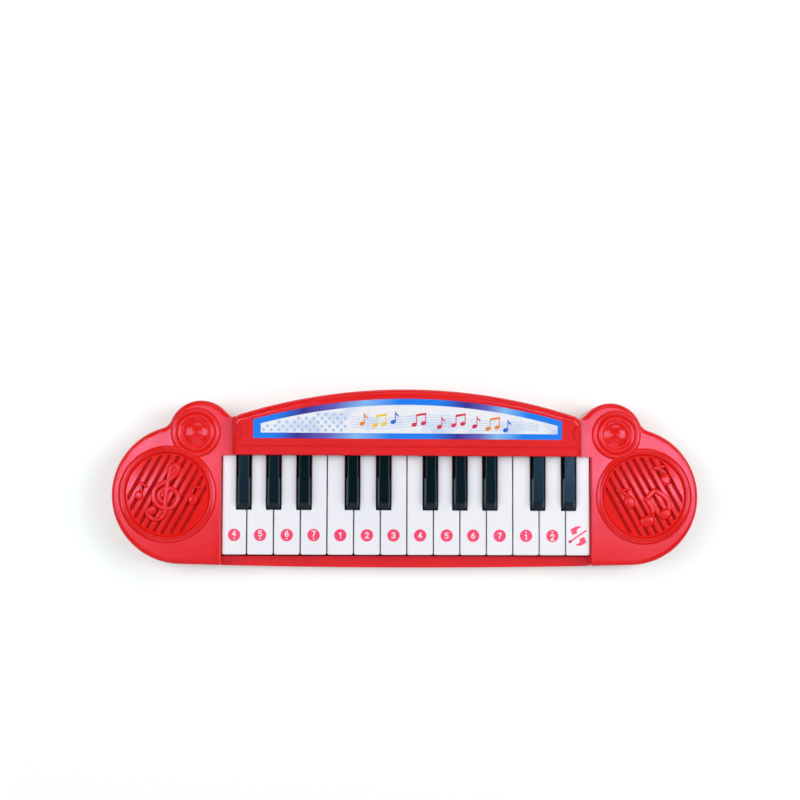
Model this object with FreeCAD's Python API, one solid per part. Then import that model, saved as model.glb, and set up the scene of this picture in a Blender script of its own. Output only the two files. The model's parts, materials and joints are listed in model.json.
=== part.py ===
import FreeCAD, Part
import math
import os

from FreeCAD import Vector

# A small red toy keyboard with fourteen white keys and ten black keys, lying on a table.
# Millimetres. X runs along the keys, the front is -Y, +Z is up.
# The origin is at the middle of the box that holds the toy, on the table.

# Overall sizes
length = 350.8
depth = 105.8
front_bow = 1.8
wall = 2.2
overrun = 1.0
touch = 0.02
front_y = -depth / 2
back_y = depth / 2
block_front_y = front_y + front_bow
sides = (-1, 1)
right_angle = 90.0
full_turn = 360.0

# Levels
foot_height = 1.5
floor_thickness = 2.0
parting_z = 11.0
rail_z = 15.0
block_z = 28.0
white_top_z = 25.0
black_top_z = 30.0
panel_front_z = 33.0
floor_z = foot_height + floor_thickness
block_inner_z = block_z - wall

# Plan outline: end blocks, ears and the dip between them
end_block_width = 65.08
end_radius = 41.2
ear_radius = 19.3
ear_gap = 21.27
ear_shift = 3.1
dip_radius = 8.0
edge_round = 2.8
base_round = 2.0
end_x = length / 2 - end_radius
end_y = block_front_y + end_radius
key_window_half = length / 2 - end_block_width

# Console
console_depth = 39.4
console_side_gap = 3.5
console_bow = 16.7
console_tilt = 11.0
console_draft = 8.0
console_corner_round = 6.0
console_rim_round = 3.6
console_lip_round = 1.2
groove_inset = 4.8
groove_width = 1.0
groove_depth = 1.2
mark_inset = 3.9
mark_rise = 14.0
mark_width = 5.0
mark_length = 9.0
mark_line = 1.0
mark_depth = 1.2
seam_width = 0.5
seam_depth = 0.4
console_front = back_y - console_depth
console_back_ends = back_y - console_bow
groove_y = console_front + groove_inset

# Label
label_end_gap = 12.78
label_front_gap = 9.9
label_back_gap = 5.9
label_bow = 12.6
label_thickness = 0.3
label_corner_round = 0.6
label_corner_share = 0.33
label_front = console_front + label_front_gap
label_back = back_y - label_back_gap
label_back_ends = label_back - label_bow

# Ear rings and domes
ring_radius = 14.9
outer_crest_width = 3.4
inner_crest_width = 3.5
dome_gap = 0.2
ring_bite = 1.13
outer_crest_height = 1.4
inner_crest_height = 1.8
valley_height = 0.7
dome_height = 3.1
ring_valley_radius = ring_radius - outer_crest_width
ring_inner_radius = ring_valley_radius - inner_crest_width
dome_radius = ring_inner_radius - dome_gap

# Grilles
grille_margin = 6.4
grille_rim_radius = 26.6
grille_rim_width = 1.4
grille_fit = 0.3
grille_disc_inset = 1.0
grille_slot_inset = 0.7
grille_crest_height = 1.5
grille_crest_width = 1.3
collar_fit = 0.1
collar_width = 2.3
collar_height = 1.1
collar_bulge = 0.2
grille_disc_drop = 0.2
grille_disc_thickness = 2.4
grille_disc_rise = 0.8
grille_body_wall = 1.4
grille_body_depth = 3.0
screen_fit = 0.2
slot_count = 9
slot_pitch = 4.65
slot_shift = 0.7
slot_width = 1.6
slot_lip = 0.7
slot_angle = 61.3
grille_x = length / 2 - grille_margin - grille_rim_radius
grille_y = end_y
grille_body_radius = grille_rim_radius - grille_rim_width
collar_inner_radius = grille_rim_radius + collar_fit
collar_radius = collar_inner_radius + collar_width
grille_disc_radius = grille_body_radius - grille_disc_inset
grille_slot_reach = grille_disc_radius - grille_slot_inset
grille_body_z = block_z - grille_body_depth
grille_disc_z = block_z - grille_disc_drop
grille_dome_radius = (grille_disc_radius ** 2 + grille_disc_rise ** 2) / (2 * grille_disc_rise)
grille_dome_z = grille_disc_z + grille_disc_rise - grille_dome_radius

# Keyboard: widths follow the pitch of the white keys, places follow their visible length
white_notes = "FGABCDEFGABCDE"
sharp_offset_shares = {"F": -0.115, "G": 0.0, "A": 0.135, "C": -0.05, "D": 0.125}
black_width_share = 0.497
black_top_width_share = 0.78
black_neck_width_share = 0.84
black_hollow_share = 0.45
white_tail_share = 0.36
black_tail_share = 0.28
rod_post_share = 0.19
black_length_share = 0.537
black_neck_share = 0.223
end_key_trim = 0.98
rail_depth = 5.0
rail_slope = 14.0
key_front_gap = 0.8
key_under_console = 3.4
key_gap = 0.7
key_bottom_z = 16.5
key_wall = 1.6
key_top_wall = 2.0
key_edge_round = 0.6
key_corner_round = 1.2
black_side_gap = 0.6
black_front_gap = 0.6
black_slope = 3.5
black_skirt_lift = 0.3
black_corner_round = 1.9
white_pitch = 2 * (key_window_half + end_key_trim) / len(white_notes)
sharp_offsets = {note: share * white_pitch for note, share in sharp_offset_shares.items()}
black_width = black_width_share * white_pitch
black_top_width = black_top_width_share * black_width
black_neck_width = black_neck_width_share * black_width
black_hollow_width = black_hollow_share * black_width
outer_black_x = (len(white_notes) / 2 - 1) * white_pitch - sharp_offsets[white_notes[0]]
console_half = outer_black_x + black_width / 2 + console_side_gap
label_half = console_half - label_end_gap
ear_x = console_half + ear_gap
ear_reach = grille_rim_radius + ring_radius - ring_bite
ear_y = grille_y + math.sqrt(ear_reach ** 2 - (grille_x - ear_x) ** 2)
rail_back = block_front_y + rail_depth
key_front = rail_back + key_front_gap
key_back = console_front + key_under_console
key_length = console_front - key_front
black_front = console_front - black_length_share * key_length
black_top_front = black_front + black_slope
black_skirt_back = console_front - black_neck_share * key_length
black_skirt_z = white_top_z + black_skirt_lift
notch_front = black_front - black_front_gap

# Key pivot and travel
pivot_inset = 9.4
pivot_z = 20.0
rod_radius = 1.5
rod_fit = 0.05
hub_radius = 3.5
tail_inset = 1.4
key_travel = 3.5
rod_post_depth = 8.0
rod_post_top_z = 24.0
rod_end_room = 0.7
stop_inset = 4.2
stop_thickness = 2.0
stop_gap = 0.35
pivot_y = console_front + pivot_inset
tail_front = console_front + tail_inset
white_tail_width = white_tail_share * white_pitch
black_tail_width = black_tail_share * white_pitch
rod_post_thickness = rod_post_share * white_pitch
stop_front = key_front + stop_inset
stop_back = stop_front + stop_thickness

# Contacts under the keys
board_end_gap = 0.32
board_z = 7.0
board_thickness = 1.6
board_post_radius = 3.0
board_front_share = 0.656
board_back_share = 0.206
board_screw_share = 0.597
board_rest_share = 0.265
board_screw_x_shares = (-0.82, -0.27, 0.27, 0.82)
strip_end_gap = 1.32
strip_thickness = 1.0
strip_front_share = 0.52
strip_back_share = 0.223
white_contact_share = 0.435
black_contact_share = 0.3
contact_radius = 2.5
contact_tip_radius = 1.8
contact_height = 3.0
plunger_radius = 1.4
plunger_gap = 0.1
chip_x_share = 0.55
chip_side_gap = 0.4
chip_height = 1.2
guide_end_gap = 2.32
guide_z = 9.5
guide_thickness = 5.0
guide_front_share = 0.18
guide_back_share = 0.027
guide_rib_thickness = 2.0
guide_rib_x_shares = (-0.92, -0.55, -0.18, 0.18, 0.55, 0.92)
board_half = key_window_half - board_end_gap
board_front = console_front - board_front_share * key_length
board_back = console_front - board_back_share * key_length
board_screw_y = console_front - board_screw_share * key_length
board_rest_y = console_front - board_rest_share * key_length
board_screw_xs = [share * board_half for share in board_screw_x_shares]
board_top_z = board_z + board_thickness
chip_x = chip_x_share * board_half
strip_half = key_window_half - strip_end_gap
strip_front = console_front - strip_front_share * key_length
strip_back = console_front - strip_back_share * key_length
chip_y = (strip_front + board_front) / 2
chip_radius = (strip_front - board_front) / 2 - chip_side_gap
white_contact_y = console_front - white_contact_share * key_length
black_contact_y = console_front - black_contact_share * key_length
contact_top_z = board_top_z + strip_thickness + contact_height
guide_half = key_window_half - guide_end_gap
guide_front = console_front - guide_front_share * key_length
guide_back = console_front - guide_back_share * key_length
guide_rib_xs = [share * guide_half for share in guide_rib_x_shares]

# Loudspeaker, in the left end block
speaker_inset = 0.2
speaker_rim_thickness = 2.0
speaker_rim_width = 2.6
speaker_neck_radius = 12.0
speaker_neck_z = 14.0
speaker_wall = 1.2
magnet_radius = 11.0
magnet_height = 7.0
cone_thickness = 0.6
cap_radius = 8.0
cap_height = 2.5
speaker_screw_gap = 3.2
speaker_screw_angles = (50.0, 130.0, 230.0, 310.0)
terminal_reach = 14.4
terminal_offset = 11.0
terminal_width = 7.0
terminal_thickness = 2.0
terminal_bottom_z = 6.5
terminal_top_z = 19.6
speaker_x = -grille_x
speaker_y = grille_y
speaker_radius = grille_body_radius - speaker_inset
speaker_seat_z = grille_body_z - speaker_rim_thickness
speaker_screw_reach = speaker_radius + speaker_screw_gap
terminal_x = speaker_x + terminal_reach
terminal_y = speaker_y - terminal_offset

# Screws
screw_radius = 1.5
screw_fit = 0.02
screw_hole_radius = 1.7
screw_head_radius = 2.6
screw_head_height = 1.6
screw_sink_radius = 2.8
case_screw_length = 10.0
case_post_radius = 3.5
case_boss_radius = 4.2
case_boss_z = 7.0
case_seat_z = 5.0
short_screw_radius = 1.2
board_screw_length = 2.5
speaker_screw_length = 2.2
speaker_screw_head_radius = 3.8
speaker_screw_head_height = 1.4
front_screw_outset = 7.68
front_screw_inset = 6.8
back_screw_share = 0.6
back_screw_inset = 13.5
post_bite = 0.7
front_screw_x = key_window_half + front_screw_outset
front_screw_y = block_front_y + front_screw_inset
back_screw_x = back_screw_share * console_half
back_screw_y = back_y - back_screw_inset

# Battery room, in the right end block
cell_radius = 7.25
cell_length = 50.5
nub_radius = 2.75
nub_length = 1.0
cell_count = 2
cell_pitch = 15.2
cell_side_room = 0.75
cell_under_room = 1.8
cell_over_room = 0.4
room_wall = 1.6
room_side_gap = 2.88
room_front_gap = 12.2
battery_spring_length = 5.5
battery_spring_radius = 3.5
battery_spring_bore = 2.7
contact_plate_thickness = 0.6
contact_plate_size = 9.0
room_half = (cell_count - 1) * cell_pitch / 2 + cell_radius + cell_side_room
room_length = battery_spring_length + cell_length + contact_plate_thickness
room_x = key_window_half + room_side_gap + room_wall + room_half
room_front = block_front_y + room_front_gap
room_back = room_front + room_length
cell_z = floor_z + cell_under_room + cell_radius
room_roof_z = cell_z + cell_radius + cell_over_room

# Battery door
door_gap = 0.4
tongue_half = 5.5
tongue_inset = 3.1
door_screw_head_height = 1.2
door_screw_length = 4.3
door_boss_radius = 3.5
door_boss_z = 9.0
door_boss_lift = 0.2
door_boss_play = 0.45
tab_offset = 8.0
tab_width = 6.0
tab_reach = 2.2
tab_root = 3.0
tab_lift = 0.2
tab_thickness = 1.2
tab_slot_room = 0.5
tab_slot_height = 3.5
door_half = room_half - door_gap
door_front = room_front + door_gap
door_back = room_back - door_gap
tongue_front = block_front_y + tongue_inset
door_screw_y = front_screw_y

# Feet
foot_radius = 6.0
front_foot_gap = 6.32
front_foot_inset = 8.0
back_foot_gap = 14.7
back_foot_rise = 6.2
front_foot_x = key_window_half - front_foot_gap
front_foot_y = block_front_y + front_foot_inset
back_foot_x = ear_x - back_foot_gap
back_foot_y = ear_y + back_foot_rise

# Wires
wire_radius = 0.8
wire_gap = 3.0


# Basic shapes

def box(x0, x1, y0, y1, z0, z1):
    return Part.makeBox(x1 - x0, y1 - y0, z1 - z0, Vector(x0, y0, z0))


def post(x, y, z0, z1, radius):
    return Part.makeCylinder(radius, z1 - z0, Vector(x, y, z0))


def rod_along_x(x0, x1, y, z, radius):
    return Part.makeCylinder(radius, x1 - x0, Vector(x0, y, z), Vector(1, 0, 0))


def rod_along_y(x, y0, y1, z, radius):
    return Part.makeCylinder(radius, y1 - y0, Vector(x, y0, z), Vector(0, 1, 0))


def prism(points, along):
    return Part.Face(Part.makePolygon(points + points[:1])).extrude(along)


def prism_along_x(points, x0, x1):
    return prism([Vector(x0, y, z) for y, z in points], Vector(x1 - x0, 0, 0))


def prism_along_y(points, y0, y1):
    return prism([Vector(x, y0, z) for x, z in points], Vector(0, y1 - y0, 0))


def revolved(edges, x, y):
    face = Part.Face(Part.Wire(edges))
    solid = face.revolve(Vector(0, 0, 0), Vector(0, 0, 1), full_turn)
    return solid.translated(Vector(x, y, 0))


def line(start, end):
    return Part.LineSegment(start, end).toShape()


def arc_about(centre, start, end):
    """The shorter arc from start to end of the circle about centre."""
    radius = (start - centre).Length
    middle = (start - centre) + (end - centre)
    middle.normalize()
    return Part.Arc(start, centre + middle * radius, end).toShape()


def fused(shapes):
    return shapes[0].multiFuse(shapes[1:]).removeSplitter()


def level_edges(shape, z, keep):
    """The edges that lie at height z and whose middle passes the test keep."""
    found = []
    for edge in shape.Edges:
        low = edge.BoundBox.ZMin
        high = edge.BoundBox.ZMax
        flat = abs(low - z) + abs(high - z) < touch
        if flat and keep(edge.CenterOfMass):
            found.append(edge)
    return found


def save(node, shape):
    shape.exportStep("parts/" + node + ".step")


# Plan outlines

def bow(half, back, back_ends):
    """Centre and radius of a bow through (0, back) and (half, back_ends)."""
    rise = back - back_ends
    radius = (half * half + rise * rise) / (2 * rise)
    return back - radius, radius


def crossing(centre_a, radius_a, centre_b, radius_b):
    """The outer crossing of two circles."""
    gap = centre_b - centre_a
    along = (gap.Length ** 2 + radius_a ** 2 - radius_b ** 2) / (2 * gap.Length)
    across = math.sqrt(radius_a ** 2 - along ** 2)
    forward = gap / gap.Length
    outward = Vector(forward.y, -forward.x, 0)
    return centre_a + forward * along + outward * across


def tangent_point(point, centre, radius):
    """Where the upper line from point touches the circle."""
    gap = centre - point
    reach = math.sqrt(gap.Length ** 2 - radius ** 2)
    bearing = math.atan2(gap.y, gap.x) + math.asin(radius / gap.Length)
    return point + Vector(math.cos(bearing), math.sin(bearing), 0) * reach


def case_outline(inset):
    """Plan of the body without the console bow, moved inwards by inset."""
    end = Vector(end_x, end_y, 0)
    ear = Vector(ear_x - ear_shift, ear_y, 0)
    dip = crossing(end, end_radius + dip_radius, ear, ear_radius + dip_radius)
    corner = Vector(console_half - inset, console_back_ends - inset, 0)
    front_radius = (end_x ** 2 + (end_y - front_y) ** 2 - end_radius ** 2) / (2 * front_bow)
    front_centre = Vector(0, front_y + front_radius, 0)
    front = front_centre + (end - front_centre) * ((front_radius - inset) / (front_radius - end_radius))
    end_top = end + (dip - end) * ((end_radius - inset) / (end_radius + dip_radius))
    ear_side = ear + (dip - ear) * ((ear_radius - inset) / (ear_radius + dip_radius))
    ear_top = tangent_point(corner, ear, ear_radius - inset)
    right = [
        arc_about(front_centre, Vector(0, front_y + inset, 0), front),
        arc_about(end, front, end_top),
        arc_about(dip, end_top, ear_side),
        arc_about(ear, ear_side, ear_top),
        line(ear_top, corner),
        line(corner, Vector(0, corner.y, 0)),
    ]
    left = [edge.mirror(Vector(0, 0, 0), Vector(1, 0, 0)) for edge in right]
    return Part.Wire(Part.__sortEdges__(right + left))


def bow_plan(inset, z0, z1):
    """The straight-sided space under the console bow."""
    centre_y, radius = bow(console_half, back_y, console_back_ends)
    round_back = post(0, centre_y, z0, z1, radius - inset)
    front = console_front - overrun if inset else console_front
    half = console_half - inset
    return round_back.common(box(-half, half, front, back_y, z0, z1))


def body_solid(inset, z0, z1):
    plate = Part.Face(case_outline(inset)).extrude(Vector(0, 0, z1 - z0))
    return plate.translated(Vector(0, 0, z0))


# Key layout

def separator_x(index):
    """The line between white key number index and the next one, or an end of the row."""
    x = (index + 1 - len(white_notes) / 2) * white_pitch
    return max(-key_window_half, min(key_window_half, x))


def notch_half():
    return black_width / 2 + black_side_gap


def narrow_span(index):
    """Left and right edge of a white key where it passes between the black keys."""
    left = separator_x(index - 1) + key_gap / 2
    right = separator_x(index) - key_gap / 2
    before = white_notes[index - 1] if index else ""
    if before in sharp_offsets:
        left = separator_x(index - 1) + sharp_offsets[before] + notch_half()
    if white_notes[index] in sharp_offsets:
        right = separator_x(index) + sharp_offsets[white_notes[index]] - notch_half()
    return left, right


def black_middle(index):
    return separator_x(index) + sharp_offsets[white_notes[index]]


# Top case

def panel_z(y, drop=0.0):
    """Height of the sloping console panel, or of a plane at a depth drop below it."""
    tilt = math.radians(console_tilt)
    return panel_front_z + (y - console_front) * math.tan(tilt) - drop / math.cos(tilt)


def console_solid(inset, z0):
    """The raised console with drafted ends, a bowed back and a sloping top."""
    front = console_front - overrun if inset else console_front
    top = panel_z(back_y) + overrun
    side = [(front, z0), (front, panel_z(front, inset)), (back_y, panel_z(back_y, inset)), (back_y, z0)]
    half = console_half - inset
    half_top = half - (top - z0) * math.tan(math.radians(console_draft))
    ends = [(-half, z0), (-half_top, top), (half_top, top), (half, z0)]
    solid = prism_along_x(side, -half, half).common(prism_along_y(ends, front, back_y))
    return solid.common(bow_plan(inset, z0, top))


def rounded_console():
    solid = console_solid(0.0, block_z)
    corners = []
    for edge in solid.Edges:
        steep = edge.BoundBox.ZLength > edge.BoundBox.XLength + edge.BoundBox.YLength
        if steep and edge.CenterOfMass.y > groove_y:
            corners.append(edge)
    solid = solid.makeFillet(console_corner_round, corners)
    panel = max(solid.Faces, key=lambda face: face.CenterOfMass.z)
    rim = [edge for edge in panel.Edges if edge.BoundBox.YMax > console_front + wall]
    solid = solid.makeFillet(console_rim_round, rim)
    lip = [edge for edge in solid.Edges
           if edge.BoundBox.YMax < console_front + touch
           and edge.BoundBox.XLength > console_half
           and edge.CenterOfMass.z > block_z + wall]
    return solid.makeFillet(console_lip_round, lip)


def ear_dome(x):
    """The two rings and the dome on an ear, turned about the ear's middle."""
    base = block_z - wall / 2
    valley = block_z + valley_height
    outer_mid = (ring_radius + ring_valley_radius) / 2
    inner_mid = (ring_valley_radius + ring_inner_radius) / 2
    cap = dome_height - valley_height
    sphere = (dome_radius ** 2 + cap ** 2) / (2 * cap)
    centre = Vector(0, 0, block_z + dome_height - sphere)
    points = [Vector(0, 0, base), Vector(ring_radius, 0, base), Vector(ring_radius, 0, block_z)]
    outer_end = Vector(ring_valley_radius, 0, valley)
    inner_end = Vector(ring_inner_radius, 0, valley)
    dome_foot = Vector(dome_radius, 0, valley)
    dome_top = Vector(0, 0, block_z + dome_height)
    edges = [
        line(points[0], points[1]),
        line(points[1], points[2]),
        Part.Arc(points[2], Vector(outer_mid, 0, block_z + outer_crest_height), outer_end).toShape(),
        Part.Arc(outer_end, Vector(inner_mid, 0, block_z + inner_crest_height), inner_end).toShape(),
        line(inner_end, dome_foot),
        arc_about(centre, dome_foot, dome_top),
        line(dome_top, points[0]),
    ]
    return revolved(edges, x, ear_y)


def grille_collar(x):
    """The sloped collar round the seat of a grille's ring."""
    base = block_z - wall / 2
    inner = Vector(grille_body_radius, 0, base)
    outer = Vector(collar_radius, 0, base)
    foot = Vector(collar_radius, 0, block_z)
    crown = Vector(collar_inner_radius, 0, block_z + collar_height)
    bulge = Vector((foot.x + crown.x) / 2, 0, (foot.z + crown.z) / 2 + collar_bulge)
    inner_crown = Vector(inner.x, 0, crown.z)
    edges = [
        line(inner, outer),
        line(outer, foot),
        Part.Arc(foot, bulge, crown).toShape(),
        line(crown, inner_crown),
        line(inner_crown, inner),
    ]
    return revolved(edges, x, grille_y)


def case_screw_places():
    places = []
    for side in sides:
        places.append((side * ear_x, ear_y, block_inner_z))
        places.append((side * front_screw_x, front_screw_y, block_inner_z))
        places.append((side * back_screw_x, back_screw_y, panel_z(back_screw_y, wall)))
    return places


def speaker_screw_places():
    places = []
    for angle in speaker_screw_angles:
        x = speaker_x + speaker_screw_reach * math.cos(math.radians(angle))
        y = speaker_y + speaker_screw_reach * math.sin(math.radians(angle))
        places.append((x, y))
    return places


def console_mark(side):
    """An engraved oval line on the console's end."""
    ovals = []
    for inset in (0.0, mark_line):
        edge = Part.Ellipse(Vector(0, 0, 0), mark_length / 2 - inset, mark_width / 2 - inset).toShape()
        ovals.append(Part.Face(Part.Wire(edge)).extrude(Vector(0, 0, mark_depth + overrun)))
    ring = ovals[0].cut(ovals[1])
    ring.rotate(Vector(0, 0, 0), Vector(0, 0, 1), right_angle)
    ring.rotate(Vector(0, 0, 0), Vector(1, 0, 0), console_tilt)
    y = console_front + mark_rise
    return ring.translated(Vector(side * (console_half - mark_inset), y, panel_z(y, mark_depth)))


def rail_level(y):
    """Height of the front rail, which falls towards the player."""
    return rail_z + (y - rail_back) * math.tan(math.radians(rail_slope))


def top_case():
    shell = body_solid(0.0, parting_z, block_z)
    rim = level_edges(shell, block_z, lambda middle: middle.y < console_back_ends - wall
                      or abs(middle.x) > console_half)
    shell = shell.makeFillet(edge_round, rim)
    console = fused([rounded_console(), bow_plan(0.0, parting_z, block_z)])
    hollow = fused([body_solid(wall, parting_z - overrun, block_inner_z),
                    console_solid(wall, block_inner_z - overrun),
                    bow_plan(wall, parting_z - overrun, block_z)])
    window = box(-key_window_half, key_window_half, rail_back, console_front,
                 parting_z - overrun, panel_front_z + overrun)
    rail_gap = prism_along_x([(front_y - overrun, rail_level(front_y - overrun)),
                              (rail_back + overrun, rail_level(rail_back + overrun)),
                              (rail_back + overrun, panel_front_z + overrun),
                              (front_y - overrun, panel_front_z + overrun)],
                             -key_window_half, key_window_half)
    shell = fused([shell, console]).cut([hollow, window, rail_gap])

    frame = [prism_along_x([(front_y, rail_level(front_y) - wall), (rail_back, rail_z - wall),
                            (rail_back, rail_z), (front_y, rail_level(front_y))],
                           -key_window_half - wall / 2, key_window_half + wall / 2)]
    for side in sides:
        inner = side * key_window_half
        outer = inner + side * wall
        frame.append(box(min(inner, outer), max(inner, outer), front_y, console_front,
                         parting_z, block_z - wall / 2))
    within = body_solid(wall / 2, parting_z, block_z)
    shell = fused([shell] + [bar.common(within) for bar in frame])
    inner_edges = level_edges(shell, block_z, lambda middle: abs(abs(middle.x) - key_window_half) < touch)
    shell = shell.makeFillet(key_corner_round, inner_edges)

    posts = [ear_dome(side * ear_x) for side in sides]
    posts += [grille_collar(side * grille_x) for side in sides]
    for x, y, top in case_screw_places():
        posts.append(post(x, y, case_boss_z, top + post_bite, case_post_radius))
    for x, y in speaker_screw_places():
        posts.append(post(x, y, speaker_seat_z, block_inner_z + post_bite, screw_sink_radius))
    shell = fused([shell] + posts)

    cuts = [console_mark(side) for side in sides]
    for side in sides:
        cuts.append(post(side * grille_x, grille_y, block_inner_z - overrun, block_z + overrun,
                         grille_body_radius + grille_fit))
        cuts.append(post(side * grille_x, grille_y, block_z, block_z + dome_height + overrun,
                         collar_inner_radius))
    for x, y, top in case_screw_places():
        cuts.append(post(x, y, case_boss_z - overrun, case_seat_z + case_screw_length,
                         screw_radius + screw_fit))
    for x, y in speaker_screw_places():
        cuts.append(post(x, y, speaker_seat_z - overrun, speaker_seat_z + speaker_screw_length,
                         short_screw_radius + screw_fit))
    groove = [(groove_y, panel_z(groove_y, groove_depth)),
              (groove_y + groove_width, panel_z(groove_y + groove_width, groove_depth)),
              (groove_y + groove_width, panel_z(groove_y + groove_width) + overrun),
              (groove_y, panel_z(groove_y) + overrun)]
    cuts.append(prism_along_x(groove, -console_half, console_half))
    for side in sides:
        inner = side * console_half
        outer = side * (console_half + seam_width)
        cuts.append(box(min(inner, outer), max(inner, outer), console_front - overrun,
                        console_back_ends - overrun, block_z - seam_depth, block_z + overrun))
    return shell.cut(cuts)


# Bottom case

def door_outline(grow):
    """Plan boxes of the battery door: the lid and the tongue for its screw."""
    z0 = foot_height - overrun if grow else foot_height
    z1 = floor_z + overrun if grow else floor_z
    lid = box(room_x - door_half - grow, room_x + door_half + grow,
              door_front - grow, door_back + grow, z0, z1)
    tongue = box(room_x - tongue_half - grow, room_x + tongue_half + grow, tongue_front - grow,
                 door_front + overrun, z0, z1)
    return lid.fuse(tongue).removeSplitter()


def stop_level():
    """Height of the rib that the front of a pressed white key comes down on."""
    drop = (pivot_y - stop_front) * math.sin(math.radians(key_travel))
    return key_bottom_z - drop - stop_gap


def rod_post_xs():
    """Rod posts stand at both ends and where two white keys meet without a black one."""
    xs = [-key_window_half - rod_end_room - rod_post_thickness / 2]
    for index, note in enumerate(white_notes[:-1]):
        if note not in sharp_offsets:
            xs.append(separator_x(index))
    xs.append(-xs[0])
    return xs


def battery_room():
    outer = box(room_x - room_half - room_wall, room_x + room_half + room_wall,
                room_front - room_wall, room_back + room_wall, foot_height, room_roof_z + room_wall)
    inner = box(room_x - room_half, room_x + room_half, room_front, room_back,
                foot_height - overrun, room_roof_z)
    return outer.cut(inner)


def bottom_case():
    shell = fused([body_solid(0.0, foot_height, parting_z), bow_plan(0.0, foot_height, parting_z)])
    under = level_edges(shell, foot_height, lambda middle: abs(middle.x) > console_half or middle.y < 0)
    shell = shell.makeFillet(base_round, under)
    hollow = fused([body_solid(wall, floor_z, parting_z + overrun),
                    bow_plan(wall, floor_z, parting_z + overrun)])
    shell = shell.cut(hollow)

    ribs = [battery_room()]
    for x in rod_post_xs():
        half = rod_post_thickness / 2
        ribs.append(box(x - half, x + half, pivot_y - rod_post_depth / 2, pivot_y + rod_post_depth / 2,
                        foot_height, rod_post_top_z))
    for x in guide_rib_xs:
        half = guide_rib_thickness / 2
        ribs.append(box(x - half, x + half, guide_front, guide_back, foot_height, guide_z))
    ribs.append(box(-guide_half, guide_half, stop_front, stop_back, foot_height, stop_level()))
    for x in board_screw_xs:
        ribs.append(post(x, board_screw_y, foot_height, board_z, board_post_radius))
        ribs.append(post(x, board_rest_y, foot_height, board_z, board_post_radius))
    for x, y, top in case_screw_places():
        ribs.append(post(x, y, foot_height, case_boss_z, case_boss_radius))
    ribs.append(post(room_x, door_screw_y, foot_height, door_boss_z, door_boss_radius))
    ribs.append(box(room_x - door_boss_radius, room_x + door_boss_radius, door_screw_y, room_front,
                    floor_z + door_boss_lift, door_boss_z))
    for side in sides:
        ribs.append(post(side * front_foot_x, front_foot_y, 0, floor_z, foot_radius))
        ribs.append(post(side * back_foot_x, back_foot_y, 0, floor_z, foot_radius))
    shell = fused([shell] + ribs)

    cuts = [door_outline(door_gap)]
    cuts.append(post(room_x, door_screw_y, foot_height - overrun, floor_z + door_boss_lift,
                     door_boss_radius + overrun))
    cuts.append(post(room_x, door_screw_y, foot_height, door_boss_z + overrun, screw_radius + door_boss_play))
    for side in sides:
        middle = room_x + side * tab_offset
        half = tab_width / 2 + tab_slot_room
        cuts.append(box(middle - half, middle + half, room_back - overrun, room_back + room_wall + overrun,
                        floor_z, floor_z + tab_slot_height))
    for x in rod_post_xs():
        half = rod_post_thickness
        cuts.append(rod_along_x(x - half, x + half, pivot_y, pivot_z, rod_radius + rod_fit))
    for x in board_screw_xs:
        cuts.append(post(x, board_screw_y, board_z - board_screw_length, board_z + overrun,
                         short_screw_radius + screw_fit))
    for x, y, top in case_screw_places():
        cuts.append(post(x, y, foot_height - overrun, case_seat_z, screw_sink_radius))
        cuts.append(post(x, y, foot_height - overrun, case_boss_z + overrun, screw_hole_radius))
    return shell.cut(cuts)


def battery_door():
    door = door_outline(0.0)
    tabs = []
    for side in sides:
        x0 = room_x + side * tab_offset - tab_width / 2
        x1 = x0 + tab_width
        top = floor_z + tab_lift + tab_thickness
        tabs.append(box(x0, x1, door_back - tab_root, door_back, floor_z, top))
        tabs.append(box(x0, x1, door_back - tab_root, door_back + tab_reach, floor_z + tab_lift, top))
    door = fused([door] + tabs)
    sink = post(room_x, door_screw_y, foot_height - overrun, foot_height + door_screw_head_height,
                screw_sink_radius)
    hole = post(room_x, door_screw_y, foot_height, floor_z + overrun, screw_radius + screw_fit)
    return door.cut([sink, hole])


# Keys

def key_tail(middle, width):
    """The tail with the hub that turns on the pivot rod."""
    x0 = middle - width / 2
    x1 = middle + width / 2
    arm = box(x0, x1, tail_front, pivot_y, pivot_z - hub_radius, pivot_z + hub_radius)
    return arm.fuse(rod_along_x(x0, x1, pivot_y, pivot_z, hub_radius))


def rod_hole(middle):
    return rod_along_x(middle - white_pitch, middle + white_pitch, pivot_y, pivot_z, rod_radius + rod_fit)


def plunger(x, y, ceiling):
    """The pin under a key that presses its rubber dome."""
    return post(x, y, contact_top_z + plunger_gap, ceiling + key_edge_round, plunger_radius)


def white_key(index):
    left = separator_x(index - 1) + key_gap / 2
    right = separator_x(index) - key_gap / 2
    narrow_left, narrow_right = narrow_span(index)
    middle = (narrow_left + narrow_right) / 2
    key = fused([box(left, right, key_front, notch_front, key_bottom_z, white_top_z),
                 box(narrow_left, narrow_right, notch_front - overrun, key_back, key_bottom_z, white_top_z)])
    corners = [edge for edge in key.Edges
               if edge.BoundBox.ZLength > key_wall and abs(edge.CenterOfMass.y - key_front) < touch]
    key = key.makeFillet(key_corner_round, corners)
    key = key.makeFillet(key_edge_round, level_edges(key, white_top_z, lambda mid: mid.y < tail_front))
    ceiling = white_top_z - key_top_wall
    front_hollow = box(left + key_wall, right - key_wall, key_front + key_wall, notch_front - key_wall,
                       key_bottom_z - overrun, ceiling)
    back_hollow = box(narrow_left + key_wall, narrow_right - key_wall, notch_front + key_wall,
                      tail_front - key_wall, key_bottom_z - overrun, ceiling)
    key = key.cut([front_hollow, back_hollow])
    parts = [key, key_tail(middle, white_tail_width), plunger(middle, white_contact_y, ceiling)]
    return fused(parts).cut(rod_hole(middle))


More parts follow.
